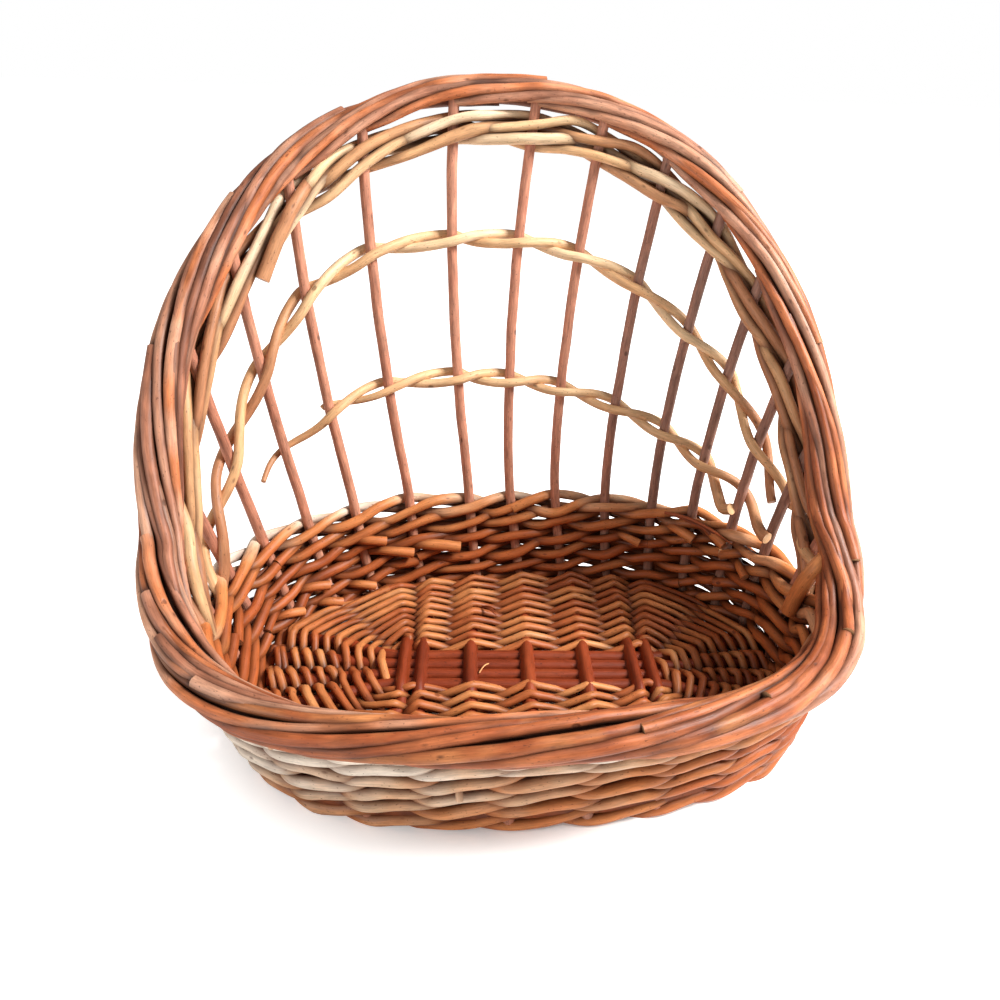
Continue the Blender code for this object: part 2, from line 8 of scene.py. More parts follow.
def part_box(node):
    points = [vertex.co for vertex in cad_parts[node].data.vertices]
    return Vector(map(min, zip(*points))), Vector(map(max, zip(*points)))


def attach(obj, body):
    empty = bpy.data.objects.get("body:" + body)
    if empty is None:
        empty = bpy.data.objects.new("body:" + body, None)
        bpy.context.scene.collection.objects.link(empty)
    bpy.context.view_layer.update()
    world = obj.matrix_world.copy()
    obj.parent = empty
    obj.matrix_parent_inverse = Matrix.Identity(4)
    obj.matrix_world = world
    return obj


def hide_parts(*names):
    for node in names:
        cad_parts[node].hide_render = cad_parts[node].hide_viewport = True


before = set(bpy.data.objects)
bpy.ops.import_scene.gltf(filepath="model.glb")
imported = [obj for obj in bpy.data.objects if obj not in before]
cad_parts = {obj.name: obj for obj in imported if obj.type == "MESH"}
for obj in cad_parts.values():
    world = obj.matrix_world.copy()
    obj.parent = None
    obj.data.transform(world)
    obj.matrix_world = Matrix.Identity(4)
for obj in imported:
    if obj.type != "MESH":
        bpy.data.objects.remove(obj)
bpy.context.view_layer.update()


# ---------------------------------------------------------------------------
# Camera, light and floor
# The basket stands free on a plain white floor. It is seen from above its low
# front, from close by, so the hood rises away from the camera.

CAMERA_PLACE = Vector((-0.0739, -0.410, 0.3775))
CAMERA_YAW, CAMERA_PITCH, CAMERA_ROLL = (math.radians(a) for a in (6.96, 28.88, 1.89))
CAMERA_LENS = 27.36
CAMERA_SENSOR = 36
WORLD_LEVEL = 0.30
# Place, size and power of the main lamp and of the weak one opposite it.
LAMPS = (
    ("main lamp", Vector((1.34, -0.34, 1.52)), 0.6, 77),
    ("weak lamp", Vector((-1.55, -0.80, 0.50)), 0.9, 11),
)
FLOOR_HALF = 30.0
FLOOR_COLOUR = (0.93, 0.925, 0.915, 1)
# The camera sees the floor lifted to white outside an oval, so the basket's shadow stays.
FLOOR_LIFT = 0.74
SHADE_RADII = (0.20, 0.135)
SHADE_EDGE = (0.85, 1.15)


class Value:
    """A socket of a node tree, with the sums that are used on it."""

    def __init__(self, finish, socket):
        self.finish = finish
        self.socket = socket

    def worked(self, operation, one, two):
        return self.finish.node("ShaderNodeMath", {"operation": operation}, {0: one, 1: two})

    def __add__(self, other):
        return self.worked("ADD", self, other)

    def __sub__(self, other):
        return self.worked("SUBTRACT", self, other)

    def __rsub__(self, other):
        return self.worked("SUBTRACT", other, self)

    def __mul__(self, other):
        return self.worked("MULTIPLY", self, other)


class Finish:
    """The nodes of a material, or of the world, round the shader that they feed."""

    def __init__(self, owner, shader="Principled BSDF"):
        owner.use_nodes = True
        self.owner = owner
        self.tree = owner.node_tree
        self.shader = self.tree.nodes[shader]

    def node(self, kind, settings, sockets, output=0):
        made = self.tree.nodes.new(kind)
        for name, value in settings.items():
            if name == "stops":
                ramp = made.color_ramp
                while len(ramp.elements) < len(value):
                    ramp.elements.new(0.5)
                for element, (place, colour) in zip(ramp.elements, value):
                    element.position = place
                    element.color = (*colour, 1)
            else:
                setattr(made, name, value)
        self.feed(made, sockets)
        return Value(self, made.outputs[output])

    def feed(self, node, sockets):
        for name, value in sockets.items():
            if isinstance(value, Value):
                self.tree.links.new(value.socket, node.inputs[name])
            else:
                node.inputs[name].default_value = value

    def ray(self, kind):
        return self.node("ShaderNodeLightPath", {}, {}, kind)

    def vector(self, operation, one, sockets, output="Vector"):
        settings = {"operation": operation}
        return self.node("ShaderNodeVectorMath", settings, {0: one, **sockets}, output)

    def within(self, value, low, high):
        """How far a value has gone from low to high, from 0 to 1."""
        sockets = {"Value": value, "From Min": low, "From Max": high}
        return self.node("ShaderNodeMapRange", {}, sockets)

    def mix(self, share, one, two):
        settings = {"data_type": "RGBA"}
        return self.node("ShaderNodeMix", settings, {0: share, 6: one, 7: two}, 2)


view = Vector((
    math.sin(CAMERA_YAW) * math.cos(CAMERA_PITCH),
    math.cos(CAMERA_YAW) * math.cos(CAMERA_PITCH),
    -math.sin(CAMERA_PITCH),
))
level_right = Vector((math.cos(CAMERA_YAW), -math.sin(CAMERA_YAW), 0))
level_up = level_right.cross(view)
right = level_right * math.cos(CAMERA_ROLL) + level_up * math.sin(CAMERA_ROLL)
up = level_up * math.cos(CAMERA_ROLL) - level_right * math.sin(CAMERA_ROLL)
camera_data = bpy.data.cameras.new("camera")
camera_data.sensor_width = CAMERA_SENSOR
camera_data.lens = CAMERA_LENS
camera = bpy.data.objects.new("camera", camera_data)
camera.matrix_world = Matrix((
    (right.x, up.x, -view.x, CAMERA_PLACE.x),
    (right.y, up.y, -view.y, CAMERA_PLACE.y),
    (right.z, up.z, -view.z, CAMERA_PLACE.z),
    (0, 0, 0, 1),
))
bpy.context.scene.collection.objects.link(camera)
bpy.context.scene.camera = camera
bpy.context.scene.view_settings.view_transform = "Standard"

daylight = Finish(bpy.data.worlds.new("soft daylight"), "Background")
bpy.context.scene.world = daylight.owner
seen_rays = {0: daylight.ray("Is Camera Ray"), 1: daylight.ray("Is Transmission Ray")}
seen = daylight.node("ShaderNodeMath", {"operation": "MAXIMUM"}, seen_rays)
daylight.feed(daylight.shader, {
    "Color": (1, 1, 1, 1),
    "Strength": seen * (1 - WORLD_LEVEL) + WORLD_LEVEL,
})

for name, place, size, power in LAMPS:
    lamp_data = bpy.data.lights.new(name, "AREA")
    lamp_data.size = size
    lamp_data.energy = power
    lamp = bpy.data.objects.new(name, lamp_data)
    lamp.location = place
    lamp.rotation_euler = (-place).to_track_quat("-Z", "Y").to_euler()
    bpy.context.scene.collection.objects.link(lamp)

floor_finish = Finish(bpy.data.materials.new("white floor"))
floor_place = floor_finish.node("ShaderNodeTexCoord", {}, {}, "Object")
radii = {1: (1 / SHADE_RADII[0], 1 / SHADE_RADII[1], 0)}
floor_place = floor_finish.vector("MULTIPLY", floor_place, radii)
reach = floor_finish.vector("LENGTH", floor_place, {}, "Value")
lift = floor_finish.within(reach, *SHADE_EDGE) * FLOOR_LIFT
floor_finish.feed(floor_finish.shader, {
    "Base Color": FLOOR_COLOUR,
    "Roughness": 0.9,
    "Specular IOR Level": 0.1,
    "Emission Color": lift * floor_finish.ray("Is Camera Ray"),
    "Emission Strength": 1,
})
floor_mesh = bpy.data.meshes.new("floor")
corners = [(x * FLOOR_HALF, y * FLOOR_HALF, 0) for x, y in ((-1, -1), (1, -1), (1, 1), (-1, 1))]
floor_mesh.from_pydata(corners, [], [(0, 1, 2, 3)])
floor_mesh.materials.append(floor_finish.owner)
floor = bpy.data.objects.new("floor", floor_mesh)
bpy.context.scene.collection.objects.link(floor)


# ---------------------------------------------------------------------------
# Base sticks
# Eleven thick peeled willow sticks make the cross of the base. The four long
# ones are pushed side by side through slits in the seven short ones.

CROSS_HALF = 0.094
CROSS_TURN = math.radians(-4.6)
STICK_LEVEL = 0.010
LONG_RADIUS = 0.0046
LONG_PITCH = 0.0099
# How far apart the long ones lie at their ends, and where and how fast they fan out.
LONG_SPREAD = 0.022
LONG_BEND = 0.118
LONG_FAN_RUN = 0.059
LONG_INSET = 0.0005
SHORT_RADIUS = 0.0053
SHORT_PLACES = (-0.08775, -0.07545, -0.0408, 0.0, 0.0408, 0.07545, 0.08775)
SHORT_FANS = (-0.016, 0.0, 0.0, 0.0, 0.0, 0.0, 0.016)
SHORT_INSET = 0.0008
SLIT_HALF = 0.0210
SLIT_RUN = 0.015
SLIT_WIDTH = 0.0056
# The ones that stand in pairs swell less where they are split.
SHORT_PAIRED = (0, 1, 5, 6)
PAIR_WIDTH = 0.0050

# Painted shade: a rod's colour is darkened where short rays from its surface soon meet another rod
# close by.
CREVICE_PAINTED_SHADE = 0.93
CREVICE_REACH = 0.008
CREVICE_RANGE = (0.14, 0.64)
CREVICE_RAYS = 8
RAY_SPREAD = 0.9
RAY_LIFT = 0.0003
WANDER_SCALE = 26
SWELLING_SCALE = 48
# How far each rod's noise and grain lie from the last one's.
NOISE_JUMP = 3.7
GRAIN_JUMP = 0.731


def willow(name, shades, cut_end=(0.72, 0.44, 0.22), roughness=0.48, mottling=1.0, streaks=0.7):
    """Peeled willow: a shade for each rod, with mottling, grain, knots and paler cut ends, and
    painted shade in the crevices between rods.
    """
    f = Finish(bpy.data.materials.new(name))

    def stored(name, output="Fac"):
        return f.node("ShaderNodeAttribute", {"attribute_name": name}, {}, output)

    space = stored("rod_space", "Vector")

    def stretched(along):
        return f.vector("MULTIPLY", space, {1: (1, 1, along)})

    def noise(vector, scale, detail, rough=0.5):
        sockets = {"Vector": vector, "Scale": scale, "Detail": detail, "Roughness": rough}
        return f.node("ShaderNodeTexNoise", {}, sockets, "Fac")

    def spots(along, scale, inner, outer):
        sockets = {"Vector": stretched(along), "Scale": scale}
        return 1 - f.within(f.node("ShaderNodeTexVoronoi", {}, sockets, "Distance"), inner, outer)

    grain = noise(stretched(0.07), scale=1300, detail=3)
    mottle = noise(stretched(0.22), scale=260, detail=4, rough=0.65)
    patch = noise(stretched(1.0), scale=22, detail=2)
    stops = [(k / (len(shades) - 1), shade) for k, shade in enumerate(shades)]
    shade = stored("tone") + patch * 0.7 - 0.35
    colour = f.node("ShaderNodeValToRGB", {"stops": stops}, {"Fac": shade}, "Color")
    light = mottle * mottling + grain * streaks + (1 - 0.5 * (mottling + streaks))
    colour = f.vector("SCALE", colour, {"Scale": light})
    knot = spots(along=0.45, scale=105, inner=0.03, outer=0.12)
    scar = spots(along=0.7, scale=42, inner=0.045, outer=0.075)
    specks = f.within(noise(stretched(0.5), scale=900, detail=1), 0.68, 0.74)
    # Painted shade: the colour goes towards dark where the rod faces other rods close by.
    crevice = f.within(stored("crevice"), *CREVICE_RANGE)
    dark = tuple(0.30 * c for c in shades[0]) + (1,)
    colour = f.mix(knot * 0.7, colour, dark)
    colour = f.mix(scar * 0.65, colour, dark)
    colour = f.mix(specks * 0.6, colour, dark)
    colour = f.mix(stored("cut_end") * 0.8, colour, (*cut_end, 1))
    colour = f.mix(crevice * CREVICE_PAINTED_SHADE, colour, dark)
    height = grain * 0.6 + mottle * 0.9 - knot * 0.8 - scar * 1.2
    bump = {"Strength": 0.5, "Distance": 0.0006, "Height": height}
    f.feed(f.shader, {
        "Base Color": colour,
        "Roughness": mottle * 0.22 + (roughness - 0.11),
        "Specular IOR Level": 0.32,
        "Normal": f.node("ShaderNodeBump", {}, bump, "Normal"),
    })
    return f.owner


def rods_on_paths():
    """Geometry nodes that lay a willow rod along each path of an edge mesh."""
    tree = bpy.data.node_groups.new("rods on paths", "GeometryNodeTree")
    for name, kind in (
        ("Geometry", "Geometry"), ("Sides", "Int"), ("Step", "Float"), ("Wander", "Float"),
        ("Swelling", "Float"), ("Seed", "Float"), ("Finish", "Material"),
    ):
        tree.interface.new_socket(name, in_out="INPUT", socket_type="NodeSocket" + kind)
    tree.interface.new_socket("Geometry", in_out="OUTPUT", socket_type="NodeSocketGeometry")

    def node(kind, settings, sockets, output=0):
        made = tree.nodes.new(kind)
        for name, value in settings.items():
            setattr(made, name, value)
        for name, value in sockets.items():
            if isinstance(value, bpy.types.NodeSocket):
                tree.links.new(value, made.inputs[name])
            else:
                made.inputs[name].default_value = value
        return made.outputs[output]

    def named(name, kind="FLOAT"):
        settings = {"data_type": kind}
        return node("GeometryNodeInputNamedAttribute", settings, {"Name": name}, "Attribute")

    def stored(geometry, name, value, kind, domain="POINT"):
        settings = {"data_type": kind, "domain": domain}
        sockets = {"Geometry": geometry, "Name": name, "Value": value}
        return node("GeometryNodeStoreNamedAttribute", settings, sockets)

    def maths(operation, one, two):
        return node("ShaderNodeMath", {"operation": operation}, {0: one, 1: two})

    def vectors(operation, one, two):
        return node("ShaderNodeVectorMath", {"operation": operation}, {0: one, 1: two})

    def scaled(vector, scale):
        return node("ShaderNodeVectorMath", {"operation": "SCALE"}, {0: vector, "Scale": scale})

    def joined(x, y, z):
        return node("ShaderNodeCombineXYZ", {}, {"X": x, "Y": y, "Z": z})

    def position():
        return node("GeometryNodeInputPosition", {}, {})

    given = tree.nodes.new("NodeGroupInput").outputs
    here = position()
    turn = maths("ADD", maths("MULTIPLY", named("number"), NOISE_JUMP), given["Seed"])

    def noise(scale, output):
        sockets = {"Vector": here, "W": turn, "Scale": scale, "Detail": 1}
        return node("ShaderNodeTexNoise", {"noise_dimensions": "4D"}, sockets, output)

    # The paths are rounded, cut into even steps and moved a little off their line.
    path = node("GeometryNodeMeshToCurve", {}, {"Mesh": given["Geometry"]})
    path = node("GeometryNodeCurveSplineType", {"spline_type": "CATMULL_ROM"}, {"Curve": path})
    even = {"Curve": path, "Length": given["Step"]}
    path = node("GeometryNodeResampleCurve", {"mode": "LENGTH"}, even)
    drift = vectors("SUBTRACT", noise(WANDER_SCALE, "Color"), (0.5, 0.5, 0.5))
    moved = {"Geometry": path, "Offset": scaled(drift, given["Wander"])}
    path = node("GeometryNodeSetPosition", {}, moved)
    path = stored(path, "middle", position(), "FLOAT_VECTOR")
    # A ring of the rod's radius runs along them, and is stretched upwards where the rod is tall.
    waver = maths("SUBTRACT", noise(SWELLING_SCALE, "Fac"), 0.5)
    swell = maths("ADD", maths("MULTIPLY", waver, given["Swelling"]), 1.0)
    circle = {"Radius": 1.0, "Resolution": given["Sides"]}
    ring = node("GeometryNodeCurvePrimitiveCircle", {}, circle, "Curve")
    body = node("GeometryNodeCurveToMesh", {}, {
        "Curve": path,
        "Profile Curve": stored(ring, "profile", position(), "FLOAT_VECTOR"),
        "Scale": maths("MULTIPLY", named("thickness"), swell),
        "Fill Caps": True,
    })
    middle = named("middle", "FLOAT_VECTOR")
    around = vectors("SUBTRACT", position(), middle)
    shaped = vectors("ADD", middle, vectors("MULTIPLY", around, joined(1.0, 1.0, named("tall"))))
    body = node("GeometryNodeSetPosition", {}, {"Geometry": body, "Position": shaped})
    # The material's grain runs along each rod, and its cut ends are marked.
    profile = scaled(named("profile", "FLOAT_VECTOR"), named("thickness"))
    space = vectors("ADD", profile, joined(0.0, 0.0, named("along")))
    body = stored(body, "rod_space", space, "FLOAT_VECTOR")
    corners = node("GeometryNodeCornersOfFace", {}, {}, "Total")
    settings = {"data_type": "INT", "operation": "GREATER_THAN"}
    is_end = node("FunctionNodeCompare", settings, {2: corners, 3: 4})
    body = stored(body, "cut_end", is_end, "FLOAT", "FACE")
    side = node("FunctionNodeBooleanMath", {"operation": "NOT"}, {0: is_end})
    body = node("GeometryNodeSetShadeSmooth", {}, {0: body, "Shade Smooth": side})
    # How much of what a point faces is another rod close by, from a few rays. The materials darken
    # the colour by it: painted shade in the crevices.
    facing = node("GeometryNodeInputNormal", {}, {})
    source = vectors("ADD", position(), scaled(facing, RAY_LIFT))
    closed = 0.0
    for seed in range(CREVICE_RAYS):
        spread = {"Min": (-RAY_SPREAD,) * 3, "Max": (RAY_SPREAD,) * 3, "Seed": seed}
        aside = node("FunctionNodeRandomValue", {"data_type": "FLOAT_VECTOR"}, spread)
        hit = node("GeometryNodeRaycast", {}, {
            "Target Geometry": body,
            "Source Position": source,
            "Ray Direction": vectors("ADD", facing, aside),
            "Ray Length": CREVICE_REACH,
        }, "Is Hit")
        closed = maths("ADD", closed, maths("DIVIDE", hit, CREVICE_RAYS))
    closed = node("GeometryNodeBlurAttribute", {"data_type": "FLOAT"}, {0: closed, "Iterations": 3})
    body = stored(body, "crevice", closed, "FLOAT")
    for spare in ("middle", "profile", "number", "along", "tall"):
        body = node("GeometryNodeRemoveAttribute", {}, {"Geometry": body, "Name": spare})
    body = node("GeometryNodeRealizeInstances", {}, {"Geometry": body})
    dressed = {"Geometry": body, "Material": given["Finish"]}
    body = node("GeometryNodeSetMaterial", {}, dressed)
    tree.links.new(body, tree.nodes.new("NodeGroupOutput").inputs[0])
    return tree


ROD_TREE = rods_on_paths()
rod_count = 0


def rod(points, thickness, tone, tall=1.0):
    """A rod: its path, its radius along it, how pale it is, and how much taller than wide."""
    points = np.asarray(points, float)
    columns = {"thickness": thickness, "tone": tone, "tall": tall}
    spread = {key: np.broadcast_to(values, len(points)) for key, values in columns.items()}
    return {"points": points, **spread}


def woven(name, rods, finish, nodes, sides=10, step=0.003, wander=0.0006, swelling=0.10):
    """One piece of the basket, made of rods, in place of the plain solids that it stands for."""
    global rod_count
    points, edges = [], []
    columns = {key: [] for key in ("thickness", "tone", "tall", "number", "along")}
    for one in rods:
        rod_count += 1
        start = len(points)
        size = len(one["points"])
        points.extend(one["points"].tolist())
        edges.extend((start + k, start + k + 1) for k in range(size - 1))
        steps = np.linalg.norm(np.diff(one["points"], axis=0), axis=1)
        columns["along"].extend(np.concatenate(([0], np.cumsum(steps))) + GRAIN_JUMP * rod_count)
        columns["number"].extend([rod_count] * size)
        for key in ("thickness", "tone", "tall"):
            columns[key].extend(one[key])
    paths = bpy.data.meshes.new(name + "_paths")
    paths.from_pydata(points, edges, [])
    for key, values in columns.items():
        attribute = paths.attributes.new(key, "FLOAT", "POINT")
        attribute.data.foreach_set("value", np.asarray(values, np.float32))
    guide = bpy.data.objects.new(name + "_paths", paths)
    bpy.context.scene.collection.objects.link(guide)
    modifier = guide.modifiers.new("rods", "NODES")
    modifier.node_group = ROD_TREE
    given = {
        "Sides": sides, "Step": step, "Wander": wander, "Swelling": swelling,
        "Seed": 1.0, "Finish": finish,
    }
    for item in ROD_TREE.interface.items_tree:
        if item.in_out == "INPUT" and item.name in given:
            modifier[item.identifier] = given[item.name]
    ready = guide.evaluated_get(bpy.context.evaluated_depsgraph_get())
    mesh = bpy.data.meshes.new_from_object(ready)
    mesh.name = name
    # Nothing reaches below the floor.
    places = np.empty(3 * len(mesh.vertices), np.float32)
    mesh.vertices.foreach_get("co", places)
    places[2::3] = np.maximum(places[2::3], 0)
    mesh.vertices.foreach_set("co", places)
    bpy.data.objects.remove(guide, do_unlink=True)
    bpy.data.meshes.remove(paths)
    piece = bpy.data.objects.new(name, mesh)
    bpy.context.scene.collection.objects.link(piece)
    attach(piece, "root")
    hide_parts(*nodes)


def eased(share):
    """A share held between 0 and 1 that leaves both ends smoothly."""
    share = np.clip(share, 0, 1)
    return share * share * (3 - 2 * share)


chance = np.random.default_rng(20)
CROSS_X = np.array([math.cos(CROSS_TURN), math.sin(CROSS_TURN), 0])
CROSS_Y = np.array([-math.sin(CROSS_TURN), math.cos(CROSS_TURN), 0])
UP = np.array([0, 0, 1.0])

stick_finish = willow(
    "base stick willow", [(0.13, 0.016, 0.004), (0.23, 0.035, 0.008), (0.35, 0.072, 0.019)]
)

for k in range(4):
    name = f"base_long_stick_{k + 1}"
    low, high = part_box(name)
    path = []
    for x in (
        low[0] + LONG_INSET, low[0] * 0.8, -LONG_BEND, -CROSS_HALF, -0.05, 0,
        0.05, CROSS_HALF, LONG_BEND, high[0] * 0.8, high[0] - LONG_INSET,
    ):
        spread = eased((abs(x) - CROSS_HALF) / LONG_FAN_RUN)
        aside = (k - 1.5) * (LONG_PITCH + (LONG_SPREAD - LONG_PITCH) * spread)
        path.append(CROSS_X * x + CROSS_Y * aside + UP * STICK_LEVEL)
    rods = [rod(path, LONG_RADIUS, 0.35 + 0.3 * chance.random())]
    woven(name + "_willow", rods, stick_finish, [name],
          sides=14, step=0.004, wander=0.0003, swelling=0.05)

for k, (place, fan) in enumerate(zip(SHORT_PLACES, SHORT_FANS)):
    name = f"base_short_stick_{k + 1}"
    low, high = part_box(name)
    start = CROSS_X * place + UP * STICK_LEVEL
    swell = PAIR_WIDTH if k in SHORT_PAIRED else SLIT_WIDTH
    slim = min(SHORT_RADIUS, swell)
    crown = STICK_LEVEL / swell - 0.01
    halves = []
    for end, side in ((low[1] + SHORT_INSET, -1), (high[1] - SHORT_INSET, 1)):
        rest = abs(end - start[1]) - SLIT_HALF - SLIT_RUN
        # Distance from the middle, radius, height to width and share of the fan.
        stations = [(SLIT_HALF * t, swell, crown, 0) for t in (0.02, 0.5, 1.0)]
        stations.append((SLIT_HALF + 0.5 * SLIT_RUN, (swell + slim) / 2, (1 + crown) / 2, 0))
        for t in (0, 0.35, 0.7, 1):
            stations.append((SLIT_HALF + SLIT_RUN + rest * t, slim, 1, t * (2 - t)))
        halves.append([
            (start + CROSS_X * (fan * share) + CROSS_Y * (side * y), wide, tall)
            for y, wide, tall, share in stations
        ])
    path, wide, tall = zip(*(halves[0][::-1] + halves[1]))
    rods = [rod(path, wide, 0.25 + 0.4 * chance.random(), tall)]
    woven(name + "_willow", rods, stick_finish, [name],
          sides=16, step=0.003, wander=0.0003, swelling=0.04)


# ---------------------------------------------------------------------------
# Base weave
# Thin willow rods are paired round the sticks: at each stick one goes over and
# the other under, and they twist round each other in between.

BASE_ROD = 0.0029
BASE_FLAT = 0.86
BASE_LIFT = 0.0074
BASE_LOOSE = 0.0007
CROSS_EDGE = (0.0965, 0.0225)
# How far out the sticks' ends are that the last rounds go round, along the cross and across it.
SPOKE_REACH = (0.172, 0.108)
WALL_INSET = 0.0118
BASE_ROUNDS = 10
ROUNDS_IN_ROD = 1.35
# How much of its butt's thickness a rod loses on the way to its tip.
TAPER = 0.24
# Stations between two sticks, and how high the rod that starts on top is at them.
PAIR_STATIONS = (0, 0.09, 0.5, 0.91)
PAIR_LIFTS = ((0, 0.09, 0.91, 1), (1, 0.87, -0.87, -1))

BASE_HALF_LENGTH, BASE_HALF_DEPTH, BASE_LEAN = 0.186, 0.120, -0.004
RIM_HEIGHT, RIM_HALF_LENGTH, RIM_HALF_DEPTH = 0.097, 0.203, 0.141
RIM_LEAN, RIM_MIDDLE = -0.014, -0.004
HOOD_HEIGHT, HOOD_HALF_LENGTH, HOOD_BACK = 0.378, 0.243, 0.181
HOOD_MIDDLE, HOOD_LEAN = -0.195, -0.008
FULLNESS = (2.53, 2.36, 2.78)


def by_height(height, floor_value, rim_value, hood_value):
    """A size that runs smoothly through its values at the floor, the rim and the hood's top."""
    over_rim = height - RIM_HEIGHT
    over_hood = height - HOOD_HEIGHT
    return (
        floor_value * over_rim * over_hood / (RIM_HEIGHT * HOOD_HEIGHT)
        - rim_value * height * over_hood / (RIM_HEIGHT * (HOOD_HEIGHT - RIM_HEIGHT))
        + hood_value * height * over_rim / (HOOD_HEIGHT * (HOOD_HEIGHT - RIM_HEIGHT))
    )


def side_frame(angle, height):
    """Points of the basket's side and the level directions out of it."""
    angle, height = np.broadcast_arrays(np.asarray(angle, float), np.asarray(height, float))
    length = by_height(height, BASE_HALF_LENGTH, RIM_HALF_LENGTH, HOOD_HALF_LENGTH)
    depth = by_height(height, BASE_HALF_DEPTH, RIM_HALF_DEPTH, HOOD_BACK - HOOD_MIDDLE)
    middle_x = by_height(height, BASE_LEAN, RIM_LEAN, HOOD_LEAN)
    middle_y = by_height(height, 0, RIM_MIDDLE, HOOD_MIDDLE)
    power = 2 / np.interp(height, (0, RIM_HEIGHT, HOOD_HEIGHT), FULLNESS)
    sine, cosine = np.sin(angle), np.cos(angle)
    x = middle_x + length * np.sign(sine) * np.abs(sine) ** power
    y = middle_y + depth * np.sign(cosine) * np.abs(cosine) ** power
    out_x = np.sign(sine) * np.abs(sine) ** (2 - power) / length
    out_y = np.sign(cosine) * np.abs(cosine) ** (2 - power) / depth
    size = np.hypot(out_x, out_y)
    points = np.stack((x, y, height), -1)
    return points, np.stack((out_x / size, out_y / size, np.zeros_like(x)), -1)


def side_point(angle, height, offset=0.0):
    points, outward = side_frame(angle, height)
    return points + outward * np.asarray(offset, float)[..., None]


def traced(points):
    """A closed line and the length up to each of its points."""
    steps = np.linalg.norm(np.diff(points, axis=0), axis=1)
    return points, np.concatenate(([0], np.cumsum(steps)))


def nearest_length(line, point):
    return line[1][np.argmin(np.linalg.norm(line[0] - point, axis=1))]


def at_length(line, length):
    return np.array([np.interp(length % line[1][-1], line[1], line[0][:, k]) for k in range(3)])


round_turns = np.linspace(math.radians(-65), math.radians(295), 1441)
cross_power = 1 / 3
sines, cosines = np.sin(round_turns), np.cos(round_turns)
CROSS_LINE = traced(
    CROSS_X * (CROSS_EDGE[0] * np.sign(sines) * np.abs(sines) ** cross_power)[:, None]
    + CROSS_Y * (CROSS_EDGE[1] * np.sign(cosines) * np.abs(cosines) ** cross_power)[:, None]
)
FOOT_LINE = traced(side_point(round_turns, 0.0, -WALL_INSET))


def spokes(short_bundles, long_bundles):
    """Lengths along the cross's and the wall's line of the stick ends that the rods go round."""
    places = [sum(SHORT_PLACES[k] for k in bundle) / len(bundle) for bundle in short_bundles]
    fans = [sum(SHORT_FANS[k] for k in bundle) / len(bundle) for bundle in short_bundles]
    rows = [sum(1.5 - k for k in bundle) / len(bundle) for bundle in long_bundles]
    ends = []
    for side in (1, -1):
        for place, fan in list(zip(places, fans))[::side]:
            inner = CROSS_X * place + CROSS_Y * (side * CROSS_EDGE[1])
            outer = CROSS_X * (place + fan) + CROSS_Y * (side * SPOKE_REACH[1])
            ends.append((nearest_length(CROSS_LINE, inner), nearest_length(FOOT_LINE, outer)))
        for row in rows[::side]:
            inner = CROSS_X * (side * CROSS_EDGE[0]) + CROSS_Y * (row * LONG_PITCH)
            outer = CROSS_X * (side * SPOKE_REACH[0]) + CROSS_Y * (row * LONG_SPREAD)
            ends.append((nearest_length(CROSS_LINE, inner), nearest_length(FOOT_LINE, outer)))
    ends.append((ends[0][0] + CROSS_LINE[1][-1], ends[0][1] + FOOT_LINE[1][-1]))
    return ends


# The first rounds go round bundles of sticks, the later ones round each stick.
pairs, singles = ((0, 1), (2,), (3,), (4,), (5, 6)), tuple((k,) for k in range(7))
ROUND_SPOKES = [spokes(pairs, ((0, 1, 2, 3),))]
ROUND_SPOKES += [spokes(singles, ((0, 1), (2, 3)))] * 3
ROUND_SPOKES += [spokes(singles, ((0,), (1,), (2,), (3,)))] * (BASE_ROUNDS - 4)


def paired(which):
    """One of the two rods that twist round each other, from the cross out to the wall."""
    path, thickness, tones = [], [], []
    rod_tones = 0.30 + 0.42 * chance.random(16)
    passed = which
    for number, ends in enumerate(ROUND_SPOKES):
        count = len(ends) - 1
        for place in range(count):
            loose = BASE_LOOSE * chance.normal(0, 1, 2)
            for t in PAIR_STATIONS:
                turn = (place + t) / count
                # The rod climbs to the next round in the last quarter of each.
                rounds = min(number + eased(4 * turn - 3), BASE_ROUNDS - 1)
                share = rounds / (BASE_ROUNDS - 1)
                inner = ends[place][0] + (ends[place + 1][0] - ends[place][0]) * t
                outer = ends[place][1] + (ends[place + 1][1] - ends[place][1]) * t
                near, far = at_length(CROSS_LINE, inner), at_length(FOOT_LINE, outer)
                middle = near + (far - near) * share
                outward = (far - near) / np.linalg.norm(far - near)
                over = 1 - 2 * (passed % 2)
                lift = over * np.interp(t, *PAIR_LIFTS)
                aside = over * math.sin(math.pi * t) * BASE_ROD
                loosely = loose[0] if t < 0.3 else 0
                level = UP * (STICK_LEVEL + BASE_LIFT * lift)
                path.append(middle + outward * (aside + loosely) + level)
                rods_on = (number + turn) / ROUNDS_IN_ROD + 0.5 * which
                thickness.append(BASE_ROD * (1.10 - TAPER * (rods_on % 1)))
                tones.append(rod_tones[int(rods_on)] + 0.08 * math.sin(29 * rods_on))
            passed += 1
    path[0] = path[0] - UP * (path[0][2] - STICK_LEVEL + BASE_LIFT)
    return rod(path, thickness, tones, BASE_FLAT)


base_finish = willow("base weave willow", [
    (0.22, 0.040, 0.010), (0.41, 0.105, 0.029), (0.58, 0.21, 0.066), (0.72, 0.36, 0.145),
])
rods = [paired(0), paired(1)]
